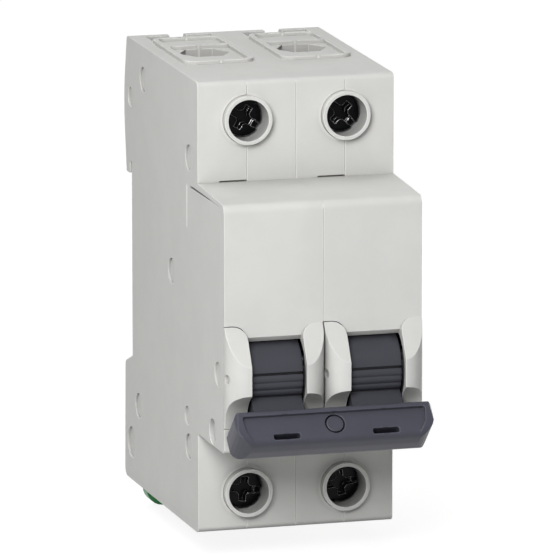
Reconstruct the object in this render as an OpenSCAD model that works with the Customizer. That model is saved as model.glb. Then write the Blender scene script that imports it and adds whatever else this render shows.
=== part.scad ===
// Two-pole circuit breaker for a 35 mm rail, shown switched off.
// X runs across the poles, -Y is the nose, +Z is up; the origin is the middle of the rail seat.

/* [Case] */
// Width of one pole
pole_w = 18; // [17.5:0.1:20]
// Height of the shoulder faces
body_h = 81; // [80:1:90]
// Height of the raised nose
nose_h = 45; // [44:0.5:46]
// Rail plane to shoulder face
shoulder_d = 44; // [42:0.5:50]
// Shoulder face to nose face
nose_d = 17; // [15:0.5:20]
// Depth of the case behind the rail plane
rear_d = 5.5; // [5.3:0.1:7]
// Wall thickness of the shells
wall = 1.4; // [1.2:0.1:1.8]
// Thickness of the nose face
front_t = 1.3; // [1.2:0.1:1.6]
// How much the top face rises towards the rear
top_rise = 0.9; // [0.1:0.1:1.5]
// How much the nose narrows at its face
nose_drop = 1; // [0.2:0.1:1.4]
// Rounding of the shoulder edges
edge_r = 1; // [0.5:0.1:1.5]
// Rounding of the nose edge
nose_r = 1.6; // [0.8:0.1:2.5]
// Gap where two mouldings meet
seam = 0.05; // [0.02:0.01:0.08]
// Width and depth of the grooves along the joints
groove = 0.06; // [0.04:0.01:0.2]

/* [Rail seat] */
// Width of the rail
rail_w = 35; // [34.7:0.1:35.3]
// Thickness of the rail's lip
rail_t = 1; // [0.8:0.1:1.2]
// How far the fixed hook reaches behind the lip
hook_lap = 1.1; // [0.8:0.1:2]
// How far the clip reaches behind the lip
clip_lap = 1.8; // [1.2:0.1:2.5]
// Free space behind the lip
rail_clear = 0.3; // [0.2:0.05:0.4]
// Width of the clip
clip_w = 12; // [10:0.5:13]
// Thickness of the clip
clip_t = 3.3; // [2.5:0.1:3.4]
// Length of the clip's tongue below the case
clip_tongue = 5.3; // [4:0.1:7]
// Rounding of the tongue's corners
clip_r = 3; // [1:0.5:4]
// Slide of the clip when it lets the rail go
clip_travel = 4.5; // [3:0.1:5]

/* [Terminals] */
// Distance from the end of the case to a screw axis
screw_in = 7; // [6.5:0.1:7.5]
// Outer diameter of a screw ring
ring_d = 8.7; // [8.4:0.1:9.6]
// Bore of a screw ring
ring_bore = 7.4; // [7:0.1:7.6]
// How far a ring stands out of the shoulder
ring_proud = 1.4; // [0.4:0.1:1.6]
// Depth of a ring's bore behind the shoulder
ring_depth = 4.5; // [3:0.1:5]
// Diameter of a screw head
head_d = 6.7; // [6:0.1:6.8]
// Depth of a screw head below the shoulder
head_in = 2.4; // [2:0.1:3]
// Diameter of a screw shank
shank_d = 4.5; // [4:0.1:5]
// Width of a wire entry
entry_w = 8.8; // [8:0.1:9.4]
// Length of a wire entry
entry_l = 7.5; // [7:0.1:8]
// Shoulder face to the middle of a wire entry
entry_in = 27.2; // [26.8:0.1:27.6]
// Height of the rim round a wire entry
rim_h = 0.6; // [0.3:0.1:0.9]
// Width of that rim
rim_w = 1; // [0.6:0.1:1.4]
// Slide of a clamping cage
cage_travel = 5; // [3:0.1:5.2]

/* [Handle] */
// Nose face to the handle axle
pivot_in = 4; // [3.5:0.1:4.5]
// Height of the handle axle
pivot_z = -9; // [-9.5:0.1:-8.5]
// Radius of the toggle drum
drum_r = 6.6; // [6.2:0.1:6.7]
// Width of a wing beside the handle window
wing_w = 4; // [3.6:0.1:4.1]
// Clearance on each side of the toggle drum
drum_clear = 0.4; // [0.2:0.05:0.5]
// Swing of the handle from off to on
swing = 94; // [80:1:96]
// Thickness of a stem
stem_t = 3.2; // [2.6:0.1:3.3]
// How far the tie bar ends inside the case's outer sides, at each end
bar_short = 0.05; // [0:0.05:1]
// Axle to the inner face of the tie bar
bar_in = 10.1; // [9.6:0.1:11]
// Thickness of the tie bar
bar_t = 6.1; // [5.5:0.1:6.5]
// Height of the tie bar
bar_h = 8.1; // [7.4:0.1:8.4]
// Depth of the panel sunk in the tie bar
panel_in = 0.8; // [0.3:0.1:0.9]
// How far the wings stand out of the nose
wing_proud = 3.8; // [3:0.1:4]

/* [Mechanism] */
// Diameter of the handle and contact arm axles
axle_d = 2.5; // [2:0.1:2.6]
// Running clearance round an axle, on each side
run_clear = 0.05; // [0.02:0.01:0.09]
// Radius of the link's pin on the toggle drum
crank_r = 3.4; // [3.3:0.1:3.6]
// Diameter of the link's wire
link_d = 1.5; // [1.2:0.1:1.6]
// Length of the link
link_l = 20; // [19:0.1:20.5]
// Contact arm's axle to the link
arm_link_r = 14; // [13.5:0.1:14.5]
// Contact arm's axle to its tip
arm_tip_r = 20.5; // [20:0.1:21]
// Thickness of the contact arm
arm_t = 2.4; // [1.6:0.1:2.8]
// Gap between the closed contact tips
tip_gap = 0.15; // [0.1:0.05:0.3]
// Height of the solenoid's axis
coil_z = 16; // [15.8:0.1:16.6]
// Turns of the solenoid
coil_turns = 7; // [4:1:7]
// Pitch of the solenoid's turns
coil_pitch = 2.1; // [2.05:0.05:2.2]
// Diameter of the solenoid's wire
coil_wire = 1.6; // [1:0.1:1.6]
// Length of the bobbin
bobbin_l = 20; // [19.5:0.5:22]
// Diameter of the plunger
plunger_d = 4.3; // [3.6:0.1:4.4]
// Diameter of the striker pin
striker_d = 1.4; // [1:0.1:1.6]
// Number of arc chute plates
chute_plates = 10; // [5:1:10]
// Distance from one arc chute plate to the next
chute_pitch = 2; // [1.6:0.1:2]
// Thickness of an arc chute plate
chute_t = 1; // [0.6:0.1:1.1]
// Thickness of an arc chute cheek
cheek_t = 1.4; // [1:0.1:1.6]
// Thickness of the bimetal strip
bimetal_t = 1; // [0.6:0.1:1.2]
// Thickness of the terminal straps
strap_t = 1.4; // [1:0.1:1.6]
// Diameter of the rod that joins the trip levers
trip_rod_d = 2; // [1.6:0.1:2.2]

/* [Hidden] */
$fn = 48;
eps = 0.01;
corner_steps = 6;
part_gap = 0.1;

// Colours
case_grey = [0.83, 0.83, 0.81];
slate = [0.27, 0.27, 0.31];
clip_green = [0.16, 0.44, 0.26];
steel = [0.62, 0.63, 0.65];
dark_steel = [0.22, 0.22, 0.23];
copper = [0.72, 0.43, 0.28];
brass = [0.76, 0.62, 0.33];
silver = [0.85, 0.85, 0.84];
fibre = [0.60, 0.42, 0.28];
black = [0.10, 0.10, 0.11];

// Outer faces of the case
hw = pole_w / 2;
inner = hw - wall;
ys = -shoulder_d;
yn = ys - nose_d;
zt = body_h / 2;
zb = -zt;
zn = nose_h / 2;
rear_top_y = rear_d - 2.3;
bulge_z = 30;
bulge_r = 30;
hook_back = rear_d - 1.9;
hook_y = rail_t + rail_clear;
hook_z = rail_w / 2 - hook_lap;
lip_top = rail_w / 2 + 4 * rail_clear;
lower_block_top = -rail_w / 2 + rail_clear;
screw_z = zt - screw_in;
entry_y = ys + entry_in;
pocket_w = 12.2;
pocket_front = -3.1;
pocket_floor = zt + top_rise - 1.9;

// Nose window and wings
window_w = pole_w - 2 * wing_w;
drum_w = window_w - 2 * drum_clear;
window_top = -2;
window_low = -16.4;
window_lip = 0.9;
wing_top = 0;
wing_fold = -6.7;
wing_low = -11.7;
hollow_h = 6.3;
wing_bottom = wing_low - hollow_h;
hollow_r = (pow(wing_proud, 2) + pow(hollow_h, 2)) / (2 * wing_proud);
wing_curve = 2.4;
wing_gap = 0.14;
cover_strip = 1.2;
cover_lip = 0.4;

// Handle and crank
pivot_y = yn + pivot_in;
half_swing = swing / 2;
bar_w = 2 * pole_w - 2 * bar_short;
stem_end = bar_in + 2.4;
crank_rise = crank_r * cos(half_swing);
crank_reach = crank_r * sin(half_swing);
crank_y = pivot_y - crank_reach;
crank_z = pivot_z + crank_rise;
link_x = inner - link_d / 2 - 0.35;

// Contact arm: half of its swing follows from the crank's reach
arm_half = asin(crank_reach / arm_link_r);
arm_link_y = crank_y + link_l;
arm_y = arm_link_y + arm_link_r * sin(arm_half);
arm_z = crank_z - 0.12 - arm_link_r * cos(arm_half);
arm_link_z = crank_z - 0.12;
arm_half_w = 2.2;
arm_boss_r = 2.6;
tip_seat = 1.5;
tip_t = 1.2;
tip_d = 3.6;
fixed_tip_t = 1;
fixed_seat = tip_seat + tip_t + tip_gap + fixed_tip_t;
fixed_t = 1.2;
runner_z = 0.2;
runner_t = 1;

// Solenoid along Y, between the trip lever and the rear
coil_front = yn + 27;
coil_rear = coil_front + bobbin_l;
bobbin_flange_t = 1;
bobbin_flange_r = 5.6;
bobbin_bore = plunger_d + 0.4;
bobbin_tube_r = bobbin_bore / 2 + 0.9;
coil_r = bobbin_tube_r + coil_wire / 2 + part_gap;
coil_start_y = coil_front + 2.4;
coil_end_y = coil_start_y + coil_turns * coil_pitch;
yoke_t = 1.2;
yoke_low = coil_z - 9.6;
yoke_half = 5.5;
core_l = 8;
plunger_gap = 3;

// Trip lever and bimetal, in the layer left of the contact arm
trip_y = arm_y - 6.5;
trip_z = arm_z + 3.6;
trip_axle_d = 2;
trip_layer = [-6.4, -4];
trip_bar_w = 1.8;
trip_rod_z = 9;
trip_top = coil_z + 2;
trip_turn = 4.3;
striker_gap = 0.3;
finger_z = pivot_z;
bimetal_x = [-6.4, -2.6];
bimetal_y = arm_y + 2.4;
bimetal_top = pivot_z + 1;
lower_run_z = arm_z - 7;
bimetal_low = lower_run_z;

// Straps, cages and screws
strap_y = ys + 24;
strap_half = 3.8;
upper_run_z = coil_z + 7.3;
cage_half_x = 5.5;
cage_wall = 1.4;
cage_half_z = 4.6;
cage_front = ys + 14;
cage_nut_t = 2.6;
cage_rear = ys + 33.2;
partition_t = 1;
upper_partition_z = upper_run_z + strap_t + 0.5;
lower_partition_z = lower_run_z - part_gap - partition_t;

// Arc chute behind the contacts
chute_front = yn + 37;
chute_rear = -wall - 3.6;
chute_half = inner - cheek_t - 3 * part_gap;
chute_top = -1.2;
lower_runner_z = chute_top - chute_pitch * chute_plates - 1;

// Pins through all four shells as [y, z], and plain dimples as [y, z, diameter, depth]
pin_d = 3;
pin_boss_d = 4.8;
pin_recess_d = 4.6;
pin_recess = 0.65;
pin_head_t = 0.3;
pins = [
    [ys + 36.1, zt - 5.4],
    [ys + 5.7, zn + 3.7],
    [yn + 34.2, coil_z - 12.3],
    [-4.1, lower_runner_z - 3.5],
    [yn + 23, -zn - 3.5]
];
dimple_in = 0.4;
dimples = [
    [rear_d - 4.75, bulge_z + 0.5, 3.7, dimple_in],
    [pivot_y, pivot_z, 4.3, dimple_in],
    [arm_y, arm_z, 3.4, dimple_in],
    [yn + 7.4, -zn + 2.5, 4.6, 2 * dimple_in],
    [rear_d - 4.75, zb + 7, 5.7, dimple_in]
];
axle_end = 0.8;

// Stops at both ends of the clip's slot, and the notches in the clip that they run in
clip_slot = clip_w / 2 + part_gap;
stop_in = 1;
stop_h = 2.4;
stop_z = zb + 12;

function pole_x(i) = (i - 0.5) * pole_w;
function unit(v) = v / norm(v);
function yz(p) = [p[0], p[1]];
function arc_points(m, r, a, sweep) =
    [for (i = [0:corner_steps])
        let (b = a + sweep * i / corner_steps)
        m + r * [cos(b), sin(b)]];
function short_way(a) = a > 180 ? a - 360 : a < -180 ? a + 360 : a;
function corner(a, b, c, r) =
    r <= 0 ? [b] :
    let (
        u = unit(a - b),
        v = unit(c - b),
        half = acos(u * v) / 2,
        m = b + unit(u + v) * r / sin(half),
        s = b + u * r / tan(half) - m,
        e = b + v * r / tan(half) - m,
        from = atan2(s[1], s[0])
    )
    arc_points(m, r, from, short_way(atan2(e[1], e[0]) - from));
function rounded(p) =
    let (n = len(p))
    [for (i = [0:n - 1]) each corner(yz(p[(i + n - 1) % n]), yz(p[i]), yz(p[(i + 1) % n]), p[i][2])];
function top_at(y) = zt + top_rise * (y - ys) / (rear_top_y - ys);

// Tubes swept along points, six-sided; ref is never along the path
tube_sides = 6;
function path_dir(p, i) = unit(p[min(i + 1, len(p) - 1)] - p[max(i - 1, 0)]);
function tube_ring(p, i, r, ref) =
    let (t = path_dir(p, i), a = unit(cross(t, ref)), b = cross(t, a))
    [for (k = [0:tube_sides - 1]) p[i] + r * (cos(360 * k / tube_sides) * a + sin(360 * k / tube_sides) * b)];
function tube_points(p, r, ref) = [for (i = [0:len(p) - 1]) each tube_ring(p, i, r, ref)];
function tube_faces(n) = concat(
    [for (k = [1:tube_sides - 2]) [0, k, k + 1]],
    [for (i = [0:n - 2], k = [0:tube_sides - 1])
        let (a = i * tube_sides + k, b = i * tube_sides + (k + 1) % tube_sides)
        each [[a, a + tube_sides, b], [b, a + tube_sides, b + tube_sides]]],
    [for (k = [1:tube_sides - 2])
        let (e = (n - 1) * tube_sides)
        [e, e + k + 1, e + k]]
);
function self_gap(p, r, skip) =
    min([for (i = [0:len(p) - 1 - skip], j = [i + skip:len(p) - 1]) norm(p[i] - p[j])]) - 2 * r;

module tube(p, r, ref) {
    polyhedron(tube_points(p, r, ref), tube_faces(len(p)), convexity = 10);
}

// Helpers: shapes drawn in (y, z) and drawn out along X, rods, plain blocks
module along_x(x0, x1) {
    translate([x0, 0, 0])
        rotate([90, 0, 90])
            linear_extrude(x1 - x0)
                children();
}

module x_rod(y, z, d, x0, x1) {
    translate([x0, y, z])
        rotate([0, 90, 0])
            cylinder(d = d, h = x1 - x0);
}

module y_rod(x, z, d, y0, y1) {
    translate([x, y0, z])
        rotate([-90, 0, 0])
            cylinder(d = d, h = y1 - y0);
}

module block(x, y, z) {
    translate([x[0], y[0], z[0]])
        cube([x[1] - x[0], y[1] - y[0], z[1] - z[0]]);
}

module rod_between(a, b, d) {
    v = b - a;
    translate(a)
        rotate([0, acos(v[2] / norm(v)), atan2(v[1], v[0])])
            cylinder(d = d, h = norm(v));
}

module round_rect(w, l, r) {
    square([w - 2 * r, l], center = true);
    square([w, l - 2 * r], center = true);
    for (x = [-1, 1], y = [-1, 1])
        translate([x * (w / 2 - r), y * (l / 2 - r)])
            circle(r);
}

module at_pole(i) {
    translate([pole_x(i), 0, 0])
        children();
}

module both_poles() {
    for (i = [0, 1])
        at_pole(i)
            children();
}

// Case outlines in (y, z)
module case_2d() {
    polygon(rounded([
        [ys, zb, edge_r],
        [ys, -zn, 0],
        [yn, -zn, nose_r / 2],
        [yn, zn - nose_drop, nose_r],
        [ys, zn, 0],
        [ys, zt, edge_r],
        [rear_top_y, zt + top_rise, edge_r],
        [rear_d, bulge_z, bulge_r],
        [hook_back, hook_z, 0.5],
        [hook_y, hook_z, 0.4],
        [hook_y, lip_top, 0.3],
        [0, lip_top, 0.3],
        [0, lower_block_top, 0.3],
        [rear_d - 0.5, lower_block_top - 1.9, 1.2],
        [rear_d, zb, 1.5]
    ]));
}

module chamber_2d() {
    polygon([
        [ys + wall, zb + wall], [-wall, zb + wall],
        [-wall, pocket_floor - wall], [pocket_front - wall, pocket_floor - wall],
        [pocket_front - wall, zt - wall], [ys + wall, zt - wall]
    ]);
    translate([yn + front_t, -zn + wall])
        square([nose_d + wall, nose_h - nose_drop - 2 * wall]);
    translate([-2 * wall, lip_top + wall])
        square([2 * wall + rear_top_y - wall, zt - lip_top - 5 * wall]);
}

module behind_shoulder_2d() {
    translate([ys, -body_h])
        square([shoulder_d + 2 * rear_d, 2 * body_h]);
}

module rear_ring_2d() {
    intersection() {
        difference() {
            case_2d();
            chamber_2d();
        }
        behind_shoulder_2d();
    }
}

module nose_ring_2d() {
    difference() {
        case_2d();
        chamber_2d();
        behind_shoulder_2d();
    }
}

// The nose moulding laps over the top and the front edge of the left side wall
module cover_edge_2d(gap = 0) {
    polygon([
        [ys, zn + 2],
        [ys, zn - cover_strip - gap],
        [yn + 3, zn - cover_strip - 0.3 - gap],
        [yn + 1.2 + gap, zn - 3.7 - gap],
        [yn + cover_lip + gap, zn - 6],
        [yn + cover_lip + gap, -zn - 2],
        [yn - 2, -zn - 2],
        [yn - 2, zn + 2]
    ]);
}

// One wing beside the handle window, drawn for the left side of a pole
module wing_front_2d(gap = 0) {
    polygon(rounded([
        [-hw - 1, wing_bottom - gap, 0],
        [-window_w / 2, wing_bottom - gap, 0],
        [-window_w / 2, wing_top + gap, wing_curve],
        [-hw - 1, wing_top + gap, 0]
    ]));
}

module wing() {
    round_r = hw - window_w / 2;
    round_y = yn - wing_proud + round_r;
    intersection() {
        translate([0, 0, wing_bottom - 1])
            linear_extrude(wing_top - wing_bottom + 2)
                union() {
                    translate([-hw, round_y])
                        square([round_r, yn + front_t - round_y]);
                    intersection() {
                        translate([-window_w / 2, round_y])
                            circle(round_r);
                        translate([-hw, round_y - round_r])
                            square(round_r);
                    }
                }
        // Hollow underside that runs down into the nose face
        along_x(-hw, -window_w / 2)
            difference() {
                polygon([
                    [yn + front_t, wing_bottom],
                    [yn - wing_proud, wing_bottom],
                    [yn - wing_proud, wing_fold],
                    [yn, wing_top],
                    [yn + front_t, wing_top]
                ]);
                translate([yn - hollow_r, wing_bottom])
                    circle(hollow_r);
            }
        translate([0, yn + front_t, 0])
            rotate([90, 0, 0])
                linear_extrude(front_t + wing_proud + 1)
                    wing_front_2d();
    }
}

// Rim and inner ledge round a wire entry, on a face that rises by rise
module entry_rim(rise) {
    rim_l = entry_l + 16.4;
    rim_back = 1.1;
    rim_outer = entry_w + 4.2;
    slope = rise / (rear_top_y - ys);
    base = zt + slope * (entry_y - ys);
    intersection() {
        translate([0, entry_y, zt - wall / 2])
            linear_extrude(wall + rise + rim_h)
                union() {
                    translate([0, rim_back])
                        difference() {
                            round_rect(rim_outer, rim_l, 2.2);
                            round_rect(rim_outer - 2 * rim_w, rim_l - 2 * rim_w, 2.2 - rim_w);
                        }
                    translate([rim_w - rim_outer / 2, entry_l / 2 + 0.3])
                        square([rim_outer - 2 * rim_w, 1.1]);
                }
        along_x(-rim_outer, rim_outer)
            polygon([
                [entry_y - rim_l, zt - wall],
                [entry_y + rim_l, zt - wall],
                [entry_y + rim_l, base + slope * rim_l + rim_h],
                [entry_y - rim_l, base - slope * rim_l + rim_h]
            ]);
    }
}

module entry_rims() {
    entry_rim(top_rise);
    mirror([0, 0, 1])
        entry_rim(0);
}

module entry_hole() {
    cut_x = 1.9;
    cut_y = 3.1;
    w = entry_w / 2;
    l = entry_l / 2;
    translate([0, entry_y, zt - 2 * wall])
        linear_extrude(4 * wall)
            polygon([
                [cut_x - w, -l], [w - cut_x, -l], [w, cut_y - l], [w, l - cut_y],
                [w - cut_x, l], [cut_x - w, l], [-w, l - cut_y], [-w, cut_y - l]
            ]);
}

// Cuts that both shells of a pole share
module shared_cuts() {
    notch_w = 3.2;
    pocket = [pocket_front, rear_top_y - 2.2];
    pocket_z = [pocket_floor, zt + top_rise + 1];
    entry_hole();
    mirror([0, 0, 1])
        entry_hole();
    block([-pocket_w / 2, pocket_w / 2], pocket, pocket_z);
    block([-notch_w / 2, notch_w / 2], [pocket[1] - eps, rear_d], pocket_z);
    difference() {
        block([-clip_slot, clip_slot], [hook_y - 0.2, hook_y + clip_t], [zb - 1, lower_block_top + 1]);
        for (s = [-1, 1])
            block([s * clip_slot - stop_in, s * clip_slot + stop_in], [0, 2 * rear_d],
                [stop_z - stop_h / 2, stop_z + stop_h / 2]);
    }
    for (p = pins)
        x_rod(p[0], p[1], pin_d + 2 * run_clear, -pole_w, pole_w);
    x_rod(pivot_y, pivot_z, axle_d + 2 * run_clear, axle_end - hw - eps, hw - axle_end + eps);
    x_rod(arm_y, arm_z, axle_d + 2 * run_clear, axle_end - hw - eps, hw - axle_end + eps);
    x_rod(trip_y, trip_z, trip_axle_d + 2 * run_clear, axle_end - hw - eps, hw - axle_end + eps);
}

// Round recesses on one outer side
module side_recesses(side) {
    x = side * hw;
    for (p = pins)
        x_rod(p[0], p[1], pin_recess_d, x - pin_recess, x + pin_recess);
    for (p = dimples)
        x_rod(p[0], p[1], p[2], x - p[3], x + p[3]);
}

// Slot through a middle wall for the rod that joins the trip levers
module trip_slot() {
    reach = (trip_rod_z - trip_z) * sin(trip_turn);
    room = trip_rod_d / 2 + 0.4;
    block([-pole_w, pole_w], [trip_y - reach - room, trip_y + room], [trip_rod_z - room, trip_rod_z + room]);
}

module strap_slots() {
    half = strap_half + part_gap + 1.4;
    block([-half, half], [strap_y - part_gap, strap_y + strap_t + part_gap],
        [upper_partition_z - 1, upper_partition_z + partition_t + 1]);
    block([-half, half], [strap_y - part_gap, strap_y + strap_t + part_gap],
        [lower_partition_z - 1, lower_partition_z + partition_t + eps]);
}

// Partitions between the mechanism and the terminals, and pin bosses, from x0 to x1
module inner_walls(x0, x1) {
    block([x0, x1], [ys + wall - eps, eps - wall], [upper_partition_z, upper_partition_z + partition_t]);
    block([x0, x1], [ys + wall - eps, cage_rear], [lower_partition_z, lower_partition_z + partition_t]);
    for (p = pins)
        x_rod(p[0], p[1], pin_boss_d, x0, x1);
}

module shoulder_edges(x0, x1) {
    for (z = [[zn, body_h], [-body_h, -zn]])
        block([x0, x1], [ys - 1, ys + groove], z);
}

module left_shell(i) {
    arm_boss_d = 3.8;
    color(case_grey)
        at_pole(i)
            difference() {
                union() {
                    along_x(-hw, -inner)
                        difference() {
                            case_2d();
                            cover_edge_2d(seam);
                        }
                    along_x(-inner - eps, 0)
                        rear_ring_2d();
                    difference() {
                        inner_walls(-inner - eps, -seam);
                        strap_slots();
                    }
                    x_rod(arm_y, arm_z, arm_boss_d, -inner - eps, -arm_t / 2 - part_gap);
                    wing();
                    intersection() {
                        entry_rims();
                        block([-hw, 0], [ys, 0], [-body_h, body_h]);
                    }
                    x_rod(trip_y, trip_z, 3.4, -inner - eps, trip_layer[0] - part_gap);
                }
                shared_cuts();
                side_recesses(-1);
                for (s = [-1, 1])
                    y_rod(0, s * screw_z, ring_d + 2 * seam, ys - 2, ys + ring_depth + seam);
                if (i == 1)
                    trip_slot();
                // Fine grooves along the joints with the nose moulding and with the right shell
                along_x(-hw - 1, groove - hw)
                    cover_edge_2d(seam + groove);
                block([-groove, 1], [ys - 1, ys + groove], [-body_h, body_h]);
                shoulder_edges(-hw - 1, groove / 2 - hw);
                // Slit under the shoulder, and the fine joints on the side and the shoulder
                block([-hw - 1, 1 - hw], [yn + 9, ys + 5], [zn - cover_strip - 0.4, zn - cover_strip]);
                block([-hw - 1, 0.2 - hw], [ys + 6.9, ys + 7.1], [zn - 9, zn - cover_strip - 0.2]);
                block([4 - hw, 0], [ys - 1, ys + 0.9], [zn - 0.1, zn + 0.25]);
                x_rod(yn - 1.05, pivot_z, 1.6, -hw - 1, 0.55 - hw);
                if (i == 1)
                    block([-hw - 1, wing_gap - hw], [yn - 2 * wing_proud, yn + 0.5], [wing_bottom, wing_top]);
            }
}

module right_shell(i) {
    arm_boss_d = 3.8;
    color(case_grey)
        at_pole(i)
            difference() {
                union() {
                    along_x(inner, hw)
                        case_2d();
                    along_x(0, inner + eps)
                        rear_ring_2d();
                    difference() {
                        union() {
                            along_x(seam - inner, inner + eps)
                                nose_ring_2d();
                            along_x(-hw, 2 * seam - inner)
                                intersection() {
                                    case_2d();
                                    cover_edge_2d();
                                }
                        }
                        // Window, chamfered along its top edge, and room for the left wing
                        along_x(-window_w / 2, window_w / 2)
                            polygon([
                                [yn - 1, window_low],
                                [yn - 1, window_top],
                                [yn, window_top],
                                [yn + window_lip, window_top - window_lip],
                                [yn + front_t + 1, window_top - window_lip + 0.8],
                                [yn + front_t + 1, window_low]
                            ]);
                        translate([0, yn + front_t + 1, 0])
                            rotate([90, 0, 0])
                                linear_extrude(front_t + 2)
                                    wing_front_2d(3 * seam);
                    }
                    mirror([1, 0, 0])
                        wing();
                    difference() {
                        inner_walls(seam, inner + eps);
                        strap_slots();
                    }
                    x_rod(arm_y, arm_z, arm_boss_d, arm_t / 2 + part_gap, inner + eps);
                    x_rod(trip_y, trip_z, 3.4, trip_layer[1] + part_gap, inner + eps);
                    spring_post();
                    intersection() {
                        entry_rims();
                        block([0, hw], [ys, 0], [-body_h, body_h]);
                    }
                    for (s = [-1, 1])
                        y_rod(0, s * screw_z, ring_d, ys - ring_proud, ys + ring_depth);
                }
                shared_cuts();
                side_recesses(1);
                for (s = [-1, 1])
                    y_rod(0, s * screw_z, ring_bore, ys - 2, ys + ring_depth + 1);
                // Room behind the right wing for the front end of the drive link and its pin
                block([window_w / 2 - eps, inner], [crank_y - link_d / 2 - 0.4, yn + front_t + eps],
                    [crank_z - link_d / 2 - 0.4, pivot_z + crank_r + link_d / 2 + 0.4]);
                if (i == 0)
                    block([hw - wing_gap, hw + 1], [yn - 2 * wing_proud, yn + 0.5], [wing_bottom, wing_top]);
                // Shallow round recess in the right wing, beside the toggle drum
                x_rod(pivot_y, pivot_z, 2 * drum_r + 0.6, window_w / 2 - eps, window_w / 2 + 0.6);
                block([-hw - 1, groove / 2 - hw], [yn - 1, yn + groove], [0, body_h]);
                block([hw - groove / 2, hw + 1], [yn - 1, yn + groove], [0, body_h]);
                shoulder_edges(hw - groove / 2, hw + 1);
                if (i == 0)
                    trip_slot();
            }
}

// Rib on the right shell that the contact spring stands on
spring_z = arm_z + 7.6;
spring_post_y = arm_y - 11.7;
spring_post_t = 1.2;
module spring_post() {
    block([-2.5, inner + eps], [spring_post_y, spring_post_y + spring_post_t],
        [spring_z - 2.4, spring_z + 2.4]);
}

module case_pins() {
    color(case_grey)
        for (p = pins) {
            x_rod(p[0], p[1], pin_d, pin_recess - pole_w - eps, pole_w - pin_recess + eps);
            for (s = [-1, 1])
                x_rod(p[0], p[1], pin_recess_d - 4 * part_gap,
                    s * (pole_w - pin_recess + pin_head_t / 2) - pin_head_t / 2,
                    s * (pole_w - pin_recess + pin_head_t / 2) + pin_head_t / 2);
        }
}

module axles(y, z, d) {
    color(steel)
        both_poles()
            x_rod(y, z, d, axle_end - hw, hw - axle_end);
}

// Handle: drawn with the stem along -Y and turned down into the off position
module handle_frame() {
    translate([0, pivot_y, pivot_z])
        rotate([half_swing, 0, 0])
            children();
}

module toggle_2d() {
    band = [15, 54];
    rolls = [22, 34, 46];
    roll_d = 2.4;
    roll_r = drum_r - roll_d / 2;
    notch = [1.2, 0.45];
    far = 2 * drum_r;
    difference() {
        union() {
            difference() {
                circle(drum_r);
                for (s = [-1, 1])
                    difference() {
                        polygon([
                            [0, 0],
                            far * [-cos(band[0]), s * sin(band[0])],
                            far * [-cos(band[1]), s * sin(band[1])]
                        ]);
                        circle(roll_r);
                    }
            }
            for (s = [-1, 1])
                for (a = rolls)
                    translate(roll_r * [-cos(a), s * sin(a)])
                        circle(d = roll_d);
        }
        for (s = [-1, 1])
            translate(drum_r * [-cos(band[1]), s * sin(band[1])])
                rotate(-s * band[1])
                    square(notch, center = true);
    }
    translate([-stem_end, -stem_t / 2])
        square([stem_end, stem_t]);
}

module toggle(i) {
    crank_hole = link_d + 4 * run_clear;
    color(slate)
        at_pole(i)
            difference() {
                handle_frame()
                    along_x(-drum_w / 2, drum_w / 2)
                        toggle_2d();
                x_rod(pivot_y, pivot_z, axle_d + 2 * run_clear, -hw, hw);
                x_rod(crank_y, crank_z, crank_hole, drum_w / 2 - 2.8, hw);
            }
}

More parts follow.
